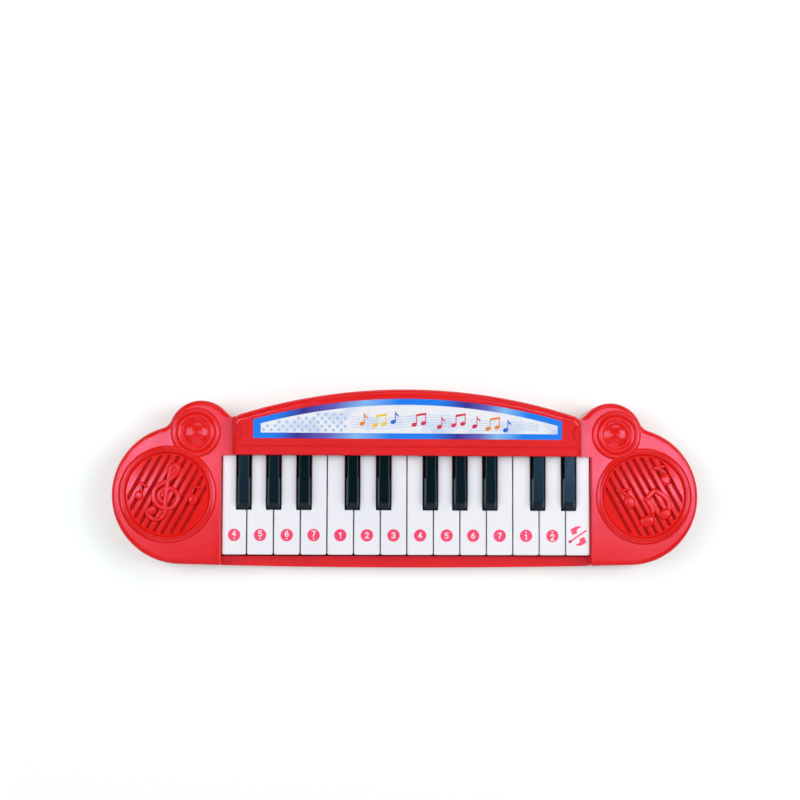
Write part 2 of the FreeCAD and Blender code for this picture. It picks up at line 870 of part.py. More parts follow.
def black_section(middle, width):
    """Cross-section of a black key: straight sides below, and drafted sides above the white keys."""
    half = width / 2
    top_half = black_top_width / 2
    return [(middle - half, key_bottom_z), (middle - half, black_skirt_z),
            (middle - top_half, black_top_z), (middle + top_half, black_top_z),
            (middle + half, black_skirt_z), (middle + half, key_bottom_z)]


def black_key(index):
    middle = black_middle(index)
    half = black_width / 2
    side = [(black_front, key_bottom_z), (black_front, black_skirt_z), (black_top_front, black_top_z),
            (black_skirt_back, black_top_z), (black_skirt_back, key_bottom_z)]
    skirt = prism_along_y(black_section(middle, black_width), black_front, black_skirt_back)
    skirt = skirt.common(prism_along_x(side, middle - half, middle + half))
    corners = [edge for edge in skirt.Edges
               if edge.BoundBox.ZLength > wall and edge.CenterOfMass.y < black_top_front - touch]
    skirt = skirt.makeFillet(black_corner_round, corners)
    neck = prism_along_y(black_section(middle, black_neck_width), black_skirt_back - overrun, key_back)
    skirt_rim = level_edges(skirt, black_top_z, lambda mid: mid.y < black_skirt_back - wall)
    neck_rim = level_edges(neck, black_top_z, lambda mid: abs(mid.x - middle) > wall)
    key = fused([skirt.makeFillet(key_edge_round, skirt_rim), neck.makeFillet(key_edge_round, neck_rim)])
    ceiling = black_top_z - key_top_wall
    hollow = box(middle - black_hollow_width / 2, middle + black_hollow_width / 2, black_top_front,
                 black_skirt_back - key_wall, key_bottom_z - overrun, ceiling)
    parts = [key.cut(hollow), key_tail(middle, black_tail_width), plunger(middle, black_contact_y, ceiling)]
    return fused(parts).cut(rod_hole(middle))


# Contacts under the keys

def contact_places():
    places = []
    for index, note in enumerate(white_notes):
        left, right = narrow_span(index)
        places.append(((left + right) / 2, white_contact_y))
        if note in sharp_offsets:
            places.append((black_middle(index), black_contact_y))
    return places


def contact_strip():
    z0 = board_top_z
    sheet = box(-strip_half, strip_half, strip_front, strip_back, z0, z0 + strip_thickness)
    domes = []
    for x, y in contact_places():
        foot = Vector(x, y, z0 + strip_thickness)
        domes.append(Part.makeCone(contact_radius, contact_tip_radius, contact_height, foot))
    return fused([sheet] + domes)


def circuit_board():
    board = box(-board_half, board_half, board_front, board_back, board_z, board_z + board_thickness)
    holes = [post(x, board_screw_y, board_z - overrun, board_top_z + overrun, screw_radius)
             for x in board_screw_xs]
    return board.cut(holes)


def chip_cover():
    z0 = board_top_z
    dome = post(chip_x, chip_y, z0, z0 + chip_height, chip_radius)
    return dome.makeFillet(chip_height / 2, level_edges(dome, z0 + chip_height, lambda mid: True))


def guide_rail():
    return box(-guide_half, guide_half, guide_front, guide_back, guide_z, guide_z + guide_thickness)


def pivot_rod():
    reach = rod_post_xs()[-1] + rod_post_thickness / 2
    return rod_along_x(-reach, reach, pivot_y, pivot_z, rod_radius)


# Grilles and loudspeaker

def grille_slot(y, z0):
    """One slot of a grille, bent along its dome, with its upper edges rounded over."""
    half = slot_width / 2
    wide = half + slot_lip
    low = z0 - overrun
    top = grille_dome_z + math.sqrt(grille_dome_radius ** 2 - y ** 2)
    bend = top - slot_lip
    high = top + overrun
    edges = []
    for side in sides:
        foot = Vector(0, y + side * half, low)
        neck = Vector(0, y + side * half, bend)
        lip = Vector(0, y + side * wide, top)
        rim = Vector(0, y + side * wide, high)
        edges += [line(Vector(0, y, low), foot), line(foot, neck),
                  arc_about(Vector(0, y + side * wide, bend), neck, lip),
                  line(lip, rim), line(rim, Vector(0, y, high))]
    section = Part.Face(Part.Wire(Part.__sortEdges__(edges)))
    middle = Vector(0, 0, grille_dome_z)
    sweep = math.degrees(math.asin(grille_disc_radius / grille_dome_radius))
    section.rotate(middle, Vector(0, 1, 0), -sweep)
    return section.revolve(middle, Vector(0, 1, 0), 2 * sweep)


def grille(side):
    """Slotted dome with a raised ring that drops into the hole of an end block."""
    disc_bottom = grille_disc_z - grille_disc_thickness
    inner = grille_body_radius - grille_body_wall
    corners = [Vector(0, 0, disc_bottom), Vector(inner, 0, disc_bottom), Vector(inner, 0, grille_body_z),
               Vector(grille_body_radius, 0, grille_body_z), Vector(grille_body_radius, 0, block_z),
               Vector(grille_rim_radius, 0, block_z), Vector(grille_rim_radius, 0, block_z + collar_height)]
    crest = Vector(grille_rim_radius - grille_crest_width / 2, 0, block_z + grille_crest_height)
    crest_end = Vector(grille_rim_radius - grille_crest_width, 0, block_z + collar_height)
    foot = Vector(grille_disc_radius, 0, grille_disc_z)
    top = Vector(0, 0, grille_disc_z + grille_disc_rise)
    edges = [line(start, end) for start, end in zip(corners, corners[1:])]
    edges += [Part.Arc(corners[-1], crest, crest_end).toShape(), line(crest_end, foot),
              arc_about(Vector(0, 0, grille_dome_z), foot, top), line(top, corners[0])]
    reach = post(0, 0, disc_bottom - overrun, top.z + overrun, grille_slot_reach)
    slots = []
    for index in range(slot_count):
        slot = grille_slot((index - (slot_count - 1) / 2) * slot_pitch + slot_shift, disc_bottom)
        slots.append(slot.common(reach))
    whole = revolved(edges, 0, 0).cut(slots)
    whole.rotate(Vector(0, 0, 0), Vector(0, 0, 1), -side * slot_angle)
    return whole.translated(Vector(side * grille_x, grille_y, 0))


def dust_screen(side):
    """Thin screen in the recess under a grille's slots."""
    radius = grille_body_radius - grille_body_wall - screen_fit
    return post(side * grille_x, grille_y, grille_body_z, grille_disc_z - grille_disc_thickness, radius)


def funnel(neck, rim, z0, z1):
    return Part.makeCone(neck, rim, z1 - z0, Vector(speaker_x, speaker_y, z0))


def speaker_basket():
    """Pressed frame: a flat rim, a funnel and the strip that carries the wire ends."""
    throat = speaker_radius - speaker_rim_width
    rim = post(speaker_x, speaker_y, speaker_seat_z, grille_body_z, speaker_radius)
    body = fused([rim, funnel(speaker_neck_radius, throat, speaker_neck_z, speaker_seat_z)])
    terminal = box(terminal_x, terminal_x + terminal_thickness, terminal_y - terminal_width / 2,
                   terminal_y + terminal_width / 2, terminal_bottom_z, terminal_top_z)
    body = body.fuse(terminal.cut(funnel(speaker_neck_radius, throat, speaker_neck_z, speaker_seat_z)))
    room = fused([funnel(speaker_neck_radius - speaker_wall, throat - speaker_wall,
                         speaker_neck_z + speaker_wall, speaker_seat_z),
                  post(speaker_x, speaker_y, speaker_seat_z - touch, grille_body_z + overrun,
                       throat - speaker_wall)])
    return body.cut(room).removeSplitter()


def speaker_magnet():
    return post(speaker_x, speaker_y, speaker_neck_z - magnet_height, speaker_neck_z, magnet_radius)


def speaker_cone():
    """Paper cone with its cap, seated on the funnel inside the basket."""
    neck = speaker_neck_radius - speaker_wall
    throat = speaker_radius - speaker_rim_width - speaker_wall
    low = speaker_neck_z + speaker_wall
    outer = funnel(neck, throat, low, speaker_seat_z)
    inner = funnel(neck, throat, low + cone_thickness, speaker_seat_z + cone_thickness)
    cap = Part.makeCone(cap_radius, cap_radius / 2, cap_height, Vector(speaker_x, speaker_y, low))
    return fused([outer.cut(inner), cap])


# Battery parts

def cell_xs():
    return [room_x + (index - (cell_count - 1) / 2) * cell_pitch for index in range(cell_count)]


def cell_directions():
    """The first cell points backwards, the next one forwards, and so on."""
    return [1 if index % 2 == 0 else -1 for index in range(cell_count)]


def battery_cells():
    cells = []
    for x, way in zip(cell_xs(), cell_directions()):
        start = room_front + battery_spring_length if way > 0 else room_front + contact_plate_thickness
        body_start = start if way > 0 else start + nub_length
        can = rod_along_y(x, body_start, body_start + cell_length - nub_length, cell_z, cell_radius)
        nub_start = start + cell_length - nub_length if way > 0 else start
        nub = rod_along_y(x, nub_start, nub_start + nub_length, cell_z, nub_radius)
        cells.append(fused([can, nub]))
    return Part.makeCompound(cells)


def battery_springs():
    springs = []
    for x, way in zip(cell_xs(), cell_directions()):
        start = room_front if way > 0 else room_back - battery_spring_length
        end = start + battery_spring_length
        tube = rod_along_y(x, start, end, cell_z, battery_spring_radius)
        springs.append(tube.cut(rod_along_y(x, start - overrun, end + overrun, cell_z, battery_spring_bore)))
    return Part.makeCompound(springs)


def battery_plates():
    plates = []
    half = contact_plate_size / 2
    for x, way in zip(cell_xs(), cell_directions()):
        start = room_back - contact_plate_thickness if way > 0 else room_front
        plates.append(box(x - half, x + half, start, start + contact_plate_thickness,
                          cell_z - half, cell_z + half))
    return Part.makeCompound(plates)


# Screws and wires

def screw(x, y, seat, radius, shank, head_radius, head_height):
    """A pan-head screw that points up, with the underside of its head at seat."""
    head = post(x, y, seat - head_height, seat, head_radius)
    return head.fuse(post(x, y, seat, seat + shank, radius)).removeSplitter()


def case_screws():
    return Part.makeCompound([screw(x, y, case_seat_z, screw_radius, case_screw_length, screw_head_radius,
                                    screw_head_height) for x, y, top in case_screw_places()])


def speaker_screws():
    return Part.makeCompound([screw(x, y, speaker_seat_z, short_screw_radius, speaker_screw_length,
                                    speaker_screw_head_radius, speaker_screw_head_height)
                              for x, y in speaker_screw_places()])


def board_screws():
    seat = board_top_z
    screws = []
    for x in board_screw_xs:
        head = post(x, board_screw_y, seat, seat + screw_head_height, screw_head_radius)
        shank = post(x, board_screw_y, board_z - board_screw_length, seat, short_screw_radius)
        screws.append(head.fuse(shank).removeSplitter())
    return Part.makeCompound(screws)


def door_screw():
    seat = foot_height + door_screw_head_height
    return screw(room_x, door_screw_y, seat, screw_radius, door_screw_length, screw_head_radius,
                 door_screw_head_height)


def wires(x0, x1):
    """A pair of leads side by side that end on the edge of the board."""
    z = board_z + board_thickness / 2
    return Part.makeCompound([rod_along_x(x0, x1, terminal_y + side * wire_gap / 2, z, wire_radius)
                              for side in sides])


# Label

def label():
    """A thin sheet on the console panel with a bowed back edge."""
    centre_y, radius = bow(label_half, label_back, label_back_ends)
    top = panel_z(back_y) + overrun
    plan = post(0, centre_y, block_z, top, radius)
    plan = plan.common(box(-label_half, label_half, label_front, label_back, block_z, top))
    corners = [edge for edge in plan.Edges if edge.BoundBox.ZLength > wall]
    corners = [edge for edge in corners if abs(edge.CenterOfMass.x) > label_half - wall]
    end_depth = label_back_ends - label_front
    plan = plan.makeFillet(min(label_corner_round, label_corner_share * end_depth), corners)
    sheet = [(label_front, panel_z(label_front)), (label_front, panel_z(label_front, -label_thickness)),
             (label_back, panel_z(label_back, -label_thickness)), (label_back, panel_z(label_back))]
    return plan.common(prism_along_x(sheet, -label_half, label_half))


os.makedirs("parts", exist_ok=True)

save("top_case", top_case())
save("bottom_case", bottom_case())
save("left_grille", grille(-1))
save("right_grille", grille(1))
save("left_dust_screen", dust_screen(-1))
save("right_dust_screen", dust_screen(1))
save("label_sticker", label())
black_number = 0
for index, note in enumerate(white_notes):
    save("white_key_%02d" % (index + 1), white_key(index))
    if note in sharp_offsets:
        black_number += 1
        save("black_key_%02d" % black_number, black_key(index))
save("key_pivot_rod", pivot_rod())
save("key_guide_rail", guide_rail())
save("contact_rubber_strip", contact_strip())
save("key_circuit_board", circuit_board())
save("chip_cover", chip_cover())
save("speaker_basket", speaker_basket())
save("speaker_magnet", speaker_magnet())
save("speaker_cone", speaker_cone())
save("battery_cells", battery_cells())
save("battery_springs", battery_springs())
save("battery_plates", battery_plates())
save("battery_door", battery_door())
save("door_screw", door_screw())
save("case_screws", case_screws())
save("board_screws", board_screws())
save("speaker_screws", speaker_screws())
save("speaker_wires", wires(terminal_x + terminal_thickness, -board_half))
save("battery_wires", wires(board_half, room_x - room_half - room_wall))
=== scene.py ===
import json
import math

import bpy
from mathutils import Matrix, Vector


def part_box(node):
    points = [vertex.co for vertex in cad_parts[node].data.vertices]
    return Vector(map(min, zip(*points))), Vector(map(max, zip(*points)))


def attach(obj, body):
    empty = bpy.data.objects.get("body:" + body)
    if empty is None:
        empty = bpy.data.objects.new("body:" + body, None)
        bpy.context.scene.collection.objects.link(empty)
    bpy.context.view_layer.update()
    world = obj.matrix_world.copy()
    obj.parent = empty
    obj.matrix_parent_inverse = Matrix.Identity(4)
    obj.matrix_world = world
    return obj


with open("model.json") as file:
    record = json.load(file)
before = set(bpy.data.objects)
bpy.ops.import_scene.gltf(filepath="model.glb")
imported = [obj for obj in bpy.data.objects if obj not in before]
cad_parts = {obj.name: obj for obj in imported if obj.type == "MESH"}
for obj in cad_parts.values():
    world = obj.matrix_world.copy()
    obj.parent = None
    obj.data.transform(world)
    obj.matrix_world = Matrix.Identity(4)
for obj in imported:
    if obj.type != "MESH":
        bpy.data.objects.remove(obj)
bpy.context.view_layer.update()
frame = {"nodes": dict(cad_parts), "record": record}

# The looks of a small red toy keyboard: materials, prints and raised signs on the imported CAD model.
# Metres in the CAD model's frame. X runs along the keys, the front is -Y, +Z is up.
mm = 0.001

# Camera, high above the toy and a little to its front left
photo_pixels = 800
sensor_width = 36.0
focal_pixels = 1967.0
camera_place = (-0.0719, -0.0435, 1.200)
camera_aim = (-0.0045, 0.04715, 0.028)
camera_roll = 0.16

# Studio: a pale floor, and lamps that face down: at each side of the camera a bright strip, a dim strip
# and a wide panel, one panel behind and two before. Each lamp has a place, a size and a brightness.
floor_size = 12.0
floor_pale = (0.9, 0.9, 0.9, 1.0)
floor_seen = (0.85, 0.9, 0.9, 1.0)
floor_glow = (0.2, 0.245, 0.245, 1.0)
white = (1.0, 1.0, 1.0, 1.0)
glow_near = 0.3
glow_far = 0.6
world_level = 0.13
panels = (
    ((-0.49, 0.105, 1.8), (0.62, 0.13), 9.5),
    ((-0.51, 0.0, 1.8), (0.58, 0.06), 1.0),
    ((-1.5, 0.3, 1.8), (1.4, 1.4), 3.9),
    ((0.64, 0.1, 1.8), (0.62, 0.14), 9.5),
    ((0.66, 0.0, 1.8), (0.58, 0.06), 1.4),
    ((1.65, 0.3, 1.8), (1.4, 1.4), 4.8),
    ((0.3, 1.9, 1.8), (1.6, 0.9), 2.0),
    ((0.0, -0.9, 1.8), (2.0, 0.8), 0.6),
    ((0.0, -1.9, 1.8), (2.0, 1.0), 1.1),
)

# Patterns in the materials, in patches per metre, then their range and the bumps they make
flow_marks = 22.0
handling_marks = 120.0
moulded_skin = 1400.0
brush_marks = 900.0
label_wash = 90.0
film_marks = 300.0
film_skin = 900.0
ink_cover = 1500.0
ink_marks = 400.0
ink_skin = 3000.0
dull_skin_share = 4
noise_low = 0.3
noise_high = 0.7
fine_bump = 0.05
brush_bump = 0.15
dull_bump = 0.3
ink_depth = 0.01 * mm
fine_depth = 0.02 * mm
dull_depth = 0.05 * mm

# Prints
print_lift = 0.05 * mm
print_sink = 0.2 * mm
print_layer = 0.04 * mm
round_steps = 48

# Numbers on the white keys
key_numbers = (4, 5, 6, 7, 1, 2, 3, 4, 5, 6, 7, 1, 2)
low_octave = range(0, 4)
high_octave = range(11, 13)
number_disc_radius = 3.7 * mm
number_disc_y = -33.7 * mm
number_height = 3.1 * mm
number_stroke = 0.72 * mm
number_dot_radius = 0.5 * mm
number_dot_reach = 2.1 * mm
number_dotted_shift = 0.85 * mm
numeral_shares = {
    1: (((-0.16, 0.34), (0.06, 0.5)), ((0.06, 0.5), (0.06, -0.5))),
    2: (((-0.28, 0.27), (-0.14, 0.48), (0.14, 0.48), (0.27, 0.24), (0.1, -0.08), (-0.28, -0.5)),
        ((-0.28, -0.5), (0.3, -0.5))),
    3: (((-0.27, 0.38), (0.0, 0.5), (0.25, 0.32), (0.16, 0.09), (-0.04, 0.03)),
        ((-0.04, 0.03), (0.22, -0.05), (0.28, -0.3), (0.02, -0.5), (-0.29, -0.37))),
    4: (((0.12, 0.5), (-0.32, -0.2)), ((-0.32, -0.2), (0.32, -0.2)), ((0.12, 0.5), (0.12, -0.5))),
    5: (((0.26, 0.48), (-0.2, 0.48)), ((-0.2, 0.48), (-0.25, 0.04)),
        ((-0.25, 0.04), (0.02, 0.13), (0.28, -0.06), (0.22, -0.4), (-0.04, -0.5), (-0.28, -0.38))),
    6: (((0.14, 0.5), (-0.12, 0.28), (-0.29, -0.08), (-0.22, -0.4), (0.04, -0.5), (0.27, -0.32),
         (0.22, -0.04), (-0.02, 0.05), (-0.26, -0.12)),),
    7: (((-0.28, 0.48), (0.28, 0.48)), ((0.28, 0.48), (-0.08, -0.5))),
}

# Sign on the last white key: two curved arrows and a bar, in millimetres from its middle
sign_shift = 0.25 * mm
arrow_points = ((-4.8, 3.9), (-3.55, 0.5), (-0.7, 1.65), (-1.0, 3.1), (-0.25, 4.3), (1.9, 5.35), (0.7, 5.8),
                (-1.1, 5.8), (-2.95, 5.0))
bar_length = 12.2 * mm
bar_width = 0.95 * mm
bar_angle = 34.5
bar_head_radius = 0.95 * mm

# Label art, on the tilted console panel
console_tilt = 11.0
field_left_gap = 4.5 * mm
field_right_gap = 2.7 * mm
field_front_gap = 3.3 * mm
field_back_gap = 3.6 * mm
label_bow = 12.6 * mm
sweep_start = -100.0 * mm
sweep_end = 84.0 * mm
sweep_slant = -0.25
stave_lines = 5
stave_pitch = 1.5 * mm
stave_width = 0.3 * mm
stave_wave = 1.1 * mm
stave_wave_length = 62.0 * mm
stave_start = -34.0 * mm
stave_end = 78.0 * mm
stave_steps = 90
stave_rise_share = 0.42
stave_least_share = 0.12
dot_pitch = 4.6 * mm
dot_radius = 0.95 * mm
dot_margin = 1.6 * mm
dots_end = -38.0 * mm
head_radii = (1.6 * mm, 1.2 * mm)
head_angle = 22.0
stem_length = 6.2 * mm
stem_width = 0.5 * mm
beam_depth = 1.3 * mm
pair_gap = 5.4 * mm
pair_rise = 0.9 * mm
flag_points = ((0.0, 0.0), (0.35, -1.0), (1.9, -2.3), (2.0, -4.0), (1.5, -2.9), (0.35, -2.1), (0.0, -2.0))
label_singles = (
    ("orange", -27.5 * mm, 32.2 * mm),
    ("blue", -9.0 * mm, 33.4 * mm),
    ("crimson", 18.5 * mm, 30.6 * mm),
    ("crimson", 39.5 * mm, 31.0 * mm),
    ("blue", 58.0 * mm, 28.9 * mm),
)
label_pairs = (
    ("yellow", -20.0 * mm, 31.2 * mm),
    ("crimson", 3.5 * mm, 31.8 * mm),
    ("crimson", 27.0 * mm, 31.6 * mm),
    ("orange", 47.5 * mm, 29.6 * mm),
)

# Raised signs on the grilles, in millimetres from the middle of the disc
disc_drop = 1.7 * mm
disc_rise = 0.8 * mm
disc_radius = 24.2 * mm
relief_sink = 0.5 * mm
relief_height = 1.3 * mm
relief_steps = 11
back_power = 6
curve_steps = 6
end_steps = 4
clef_bow = (
    (-3.3, -4.3), (-5.0, -2.0), (-4.5, 0.9), (-1.9, 3.1), (1.2, 3.6), (4.3, 2.3), (6.3, -0.8), (6.1, -3.9),
    (4.1, -6.9), (1.2, -8.4), (-3.1, -7.9), (-6.6, -5.5), (-8.2, -2.0), (-7.8, 1.9), (-5.4, 5.0), (-1.9, 7.0),
    (1.2, 8.6), (4.3, 11.3), (6.5, 14.4), (6.1, 16.8), (4.1, 17.6), (2.0, 15.6),
)
clef_stem = (
    (2.0, 15.6), (1.0, 12.1), (0.2, 7.0), (-0.5, 1.5), (-1.3, -4.0), (-1.1, -8.6), (-1.7, -12.2),
    (-4.7, -14.7), (-8.6, -14.5), (-11.5, -12.2), (-11.3, -9.4),
)
left_strokes = (
    (3.3, clef_bow),
    (2.8, clef_stem),
    (1.6, ((-14.9, 1.6), (-16.3, 6.9))),
    (1.8, ((-16.3, 7.0), (-12.2, 4.5))),
    (1.6, ((14.3, 0.3), (16.0, 4.8))),
    (1.8, ((16.0, 5.0), (19.2, 3.7))),
)
left_heads = (
    ((-8.8, -9.4), (2.9, 2.8), 0.0),
    ((-16.6, -0.8), (2.6, 3.2), 10.0),
    ((15.1, -3.2), (3.0, 3.6), -10.0),
)
right_strokes = (
    (3.6, ((0.9, -2.0), (6.2, 3.7))),
    (3.7, ((6.6, 3.5), (11.6, 0.7), (14.6, -3.4), (15.2, -7.6))),
    (3.6, ((1.5, -2.6), (4.1, -6.0), (5.1, -9.8))),
    (2.4, ((12.7, 14.2), (9.9, 16.3), (6.2, 17.0))),
    (1.9, ((5.8, 17.2), (12.0, 18.2))),
    (2.4, ((-10.2, 0.4), (-12.8, 2.6), (-15.9, 3.3))),
    (1.9, ((-16.2, 3.6), (-8.0, 4.2))),
)
right_heads = (
    ((12.7, -10.6), (4.3, 3.4), 25.0),
    ((1.8, -14.9), (5.1, 3.7), 15.0),
    ((13.2, 10.3), (3.2, 4.3), 10.0),
    ((-8.9, -3.6), (3.6, 4.7), 10.0),
)


# Node helpers

def srgb(red, green, blue):
    """A colour as seen on a screen, 0 to 255, in the linear form that shaders take."""
    linear = []
    for value in (red, green, blue):
        share = value / 255
        linear.append(share / 12.92 if share <= 0.04045 else ((share + 0.055) / 1.055) ** 2.4)
    return (*linear, 1.0)


def add_node(material, kind, **settings):
    node = material.node_tree.nodes.new(kind)
    for name, value in settings.items():
        setattr(node, name, value)
    return node


def join(material, source, target):
    material.node_tree.links.new(source, target)


def new_material(name):
    material = bpy.data.materials.new(name)
    material.use_nodes = True
    return material, material.node_tree.nodes["Principled BSDF"]


def noise(material, scale, detail=3.0, stretch=(1.0, 1.0, 1.0)):
    """A noise pattern in the toy's own metres. Scale is in patches per metre."""
    coords = add_node(material, "ShaderNodeTexCoord")
    mapping = add_node(material, "ShaderNodeMapping")
    mapping.inputs["Scale"].default_value = stretch
    texture = add_node(material, "ShaderNodeTexNoise")
    texture.inputs["Scale"].default_value = scale
    texture.inputs["Detail"].default_value = detail
    join(material, coords.outputs["Object"], mapping.inputs["Vector"])
    join(material, mapping.outputs["Vector"], texture.inputs["Vector"])
    return texture.outputs["Fac"]


def spread(material, value, low, high):
    """Turns a noise value into numbers from low to high."""
    node = add_node(material, "ShaderNodeMapRange")
    node.inputs["From Min"].default_value = noise_low
    node.inputs["From Max"].default_value = noise_high
    node.inputs["To Min"].default_value = low
    node.inputs["To Max"].default_value = high
    join(material, value, node.inputs["Value"])
    return node.outputs["Result"]


def shades(material, value, colours, places):
    """A colour ramp with one stop for each colour."""
    node = add_node(material, "ShaderNodeValToRGB")
    stops = node.color_ramp.elements
    while len(stops) < len(colours):
        stops.new(places[-1])
    for element, colour, place in zip(stops, colours, places):
        element.position = place
        element.color = colour
    join(material, value, node.inputs["Fac"])
    return node.outputs["Color"]


def bump(material, shader, value, strength, distance):
    node = add_node(material, "ShaderNodeBump")
    node.inputs["Strength"].default_value = strength
    node.inputs["Distance"].default_value = distance
    join(material, value, node.inputs["Height"])
    join(material, node.outputs["Normal"], shader.inputs["Normal"])


# Materials

def moulded(name, deep, light, rough_low, rough_high, gloss_tint, gloss_level=0.5):
    """Moulded plastic: faint flow marks in the colour, handling marks in the gloss, a fine skin."""
    material, shader = new_material(name)
    shader.inputs["Specular Tint"].default_value = gloss_tint
    shader.inputs["Specular IOR Level"].default_value = gloss_level
    flow = noise(material, flow_marks)
    join(material, shades(material, flow, (deep, light), (0.35, 0.65)), shader.inputs["Base Color"])
    marks = noise(material, handling_marks, 4.0, (1.0, 0.35, 1.0))
    join(material, spread(material, marks, rough_low, rough_high), shader.inputs["Roughness"])
    bump(material, shader, noise(material, moulded_skin, 2.0), fine_bump, fine_depth)
    return material


def metal(name, dark, light, rough_low, rough_high, stretch):
    """Metal with brush marks that run along the axis with the smallest stretch."""
    material, shader = new_material(name)
    shader.inputs["Metallic"].default_value = 1.0
    brush = noise(material, brush_marks, 3.0, stretch)
    tone = shades(material, brush, (dark, light), (noise_low, noise_high))
    join(material, tone, shader.inputs["Base Color"])
    join(material, spread(material, brush, rough_low, rough_high), shader.inputs["Roughness"])
    bump(material, shader, brush, brush_bump, fine_depth)
    return material


def dull(name, dark, light, rough_low, rough_high, scale):
    """Rubber, paper, ferrite and like surfaces without gloss."""
    material, shader = new_material(name)
    patches = noise(material, scale, 5.0)
    tone = shades(material, patches, (dark, light), (noise_low, noise_high))
    join(material, tone, shader.inputs["Base Color"])
    join(material, spread(material, patches, rough_low, rough_high), shader.inputs["Roughness"])
    bump(material, shader, noise(material, scale * dull_skin_share), dull_bump, dull_depth)
    return material


def label_border():
    """Blue foil print whose tone sweeps along the label."""
    material, shader = new_material("label_border")
    coords = add_node(material, "ShaderNodeTexCoord")
    axes = add_node(material, "ShaderNodeSeparateXYZ")
    join(material, coords.outputs["Object"], axes.inputs["Vector"])
    slant = add_node(material, "ShaderNodeMath", operation="MULTIPLY_ADD")
    slant.inputs[1].default_value = sweep_slant
    join(material, axes.outputs["Y"], slant.inputs[0])
    join(material, axes.outputs["X"], slant.inputs[2])
    sweep = add_node(material, "ShaderNodeMapRange")
    sweep.inputs["From Min"].default_value = sweep_start
    sweep.inputs["From Max"].default_value = sweep_end
    join(material, slant.outputs["Value"], sweep.inputs["Value"])
    bright = srgb(0, 128, 250)
    navy = srgb(44, 40, 150)
    violet = srgb(98, 96, 194)
    pale = srgb(132, 192, 250)
    places = (0.0, 0.07, 0.15, 0.25, 0.34, 0.45, 0.58, 0.67, 0.74, 0.8, 0.88)
    colours = (bright, bright, navy, violet, pale, bright, bright, navy, violet, pale, bright)
    join(material, shades(material, sweep.outputs["Result"], colours, places), shader.inputs["Base Color"])
    join(material, spread(material, noise(material, film_marks), 0.16, 0.26), shader.inputs["Roughness"])
    bump(material, shader, noise(material, film_skin), fine_bump, fine_depth)
    return material


def label_field():
    """White film with a faint wash of blue."""
    material, shader = new_material("label_field")
    wash = noise(material, label_wash, 5.0)
    paper = srgb(244, 246, 252)
    tint = srgb(206, 222, 246)
    washed = shades(material, wash, (paper, paper, tint), (0.0, 0.5, 0.72))
    join(material, washed, shader.inputs["Base Color"])
    join(material, spread(material, noise(material, film_marks), 0.18, 0.28), shader.inputs["Roughness"])
    bump(material, shader, noise(material, film_skin), fine_bump, fine_depth)
    return material


def ink(name, colour, thin):
    """Printing ink with slightly uneven cover."""
    material, shader = new_material(name)
    cover = noise(material, ink_cover)
    join(material, shades(material, cover, (colour, thin), (0.4, 0.8)), shader.inputs["Base Color"])
    join(material, spread(material, noise(material, ink_marks), 0.22, 0.34), shader.inputs["Roughness"])
    bump(material, shader, noise(material, ink_skin), fine_bump, ink_depth)
    return material


rosy_gloss = (0.8, 0.6, 1.0, 1.0)
blue_gloss = (0.27, 0.55, 1.0, 1.0)
clear_gloss = (0.5, 0.52, 0.56, 1.0)
looks = {
    "red_shell": moulded("red_shell", srgb(232, 25, 14), srgb(238, 30, 19), 0.13, 0.18, rosy_gloss),
    "red_guide": moulded("red_guide", srgb(222, 16, 34), srgb(232, 22, 40), 0.34, 0.46, rosy_gloss),
    "red_door": moulded("red_door", srgb(226, 23, 14), srgb(232, 28, 19), 0.24, 0.34, rosy_gloss),
    "white_key": moulded("white_key", srgb(242, 243, 251), srgb(246, 246, 253), 0.14, 0.22, clear_gloss),
    "black_key": moulded("black_key", srgb(4, 20, 22), srgb(7, 25, 28), 0.11, 0.16, blue_gloss, 0.32),
    "label_paper": label_border(),
    "steel": metal("steel", srgb(150, 152, 156), srgb(206, 208, 210), 0.22, 0.4, (1.0, 1.0, 0.2)),
    "screen_paper": dull("screen_paper", srgb(206, 22, 24), srgb(224, 30, 32), 0.7, 0.9, 500.0),
    "contact_rubber": dull("contact_rubber", srgb(164, 42, 50), srgb(184, 54, 62), 0.6, 0.8, 200.0),
    "board": dull("board", srgb(148, 40, 46), srgb(166, 50, 56), 0.5, 0.7, 120.0),
    "epoxy": dull("epoxy", srgb(16, 16, 17), srgb(26, 26, 28), 0.3, 0.45, 300.0),
    "speaker_frame": metal("speaker_frame", srgb(60, 60, 62), srgb(92, 92, 95), 0.35, 0.5, (1.0, 1.0, 1.0)),
    "magnet": dull("magnet", srgb(52, 52, 55), srgb(70, 70, 74), 0.6, 0.8, 400.0),
    "speaker_paper": dull("speaker_paper", srgb(34, 34, 36), srgb(48, 48, 50), 0.8, 0.95, 500.0),
    "battery_can": metal("battery_can", srgb(120, 124, 130), srgb(164, 168, 174), 0.25, 0.4, (1.0, 0.2, 1.0)),
    "wire": dull("wire", srgb(28, 28, 30), srgb(42, 42, 44), 0.45, 0.6, 600.0),
}
number_ink = ink("number_ink", srgb(252, 58, 108), srgb(252, 82, 128))
white_ink = ink("white_ink", srgb(246, 246, 250), srgb(252, 226, 234))
field_film = label_field()
pale_ink = ink("pale_ink", srgb(170, 202, 244), srgb(192, 216, 248))
note_inks = {
    "yellow": ink("yellow_ink", srgb(250, 206, 44), srgb(252, 220, 92)),
    "orange": ink("orange_ink", srgb(244, 128, 46), srgb(246, 152, 84)),
    "crimson": ink("crimson_ink", srgb(220, 26, 76), srgb(228, 60, 102)),
    "blue": ink("blue_ink", srgb(16, 92, 214), srgb(56, 122, 226)),
}

for entry in frame["record"]["subparts"]:
    for slot in frame["nodes"][entry["node"]].material_slots:
        slot.material = looks[entry["material_slot"]]


# Mesh helpers

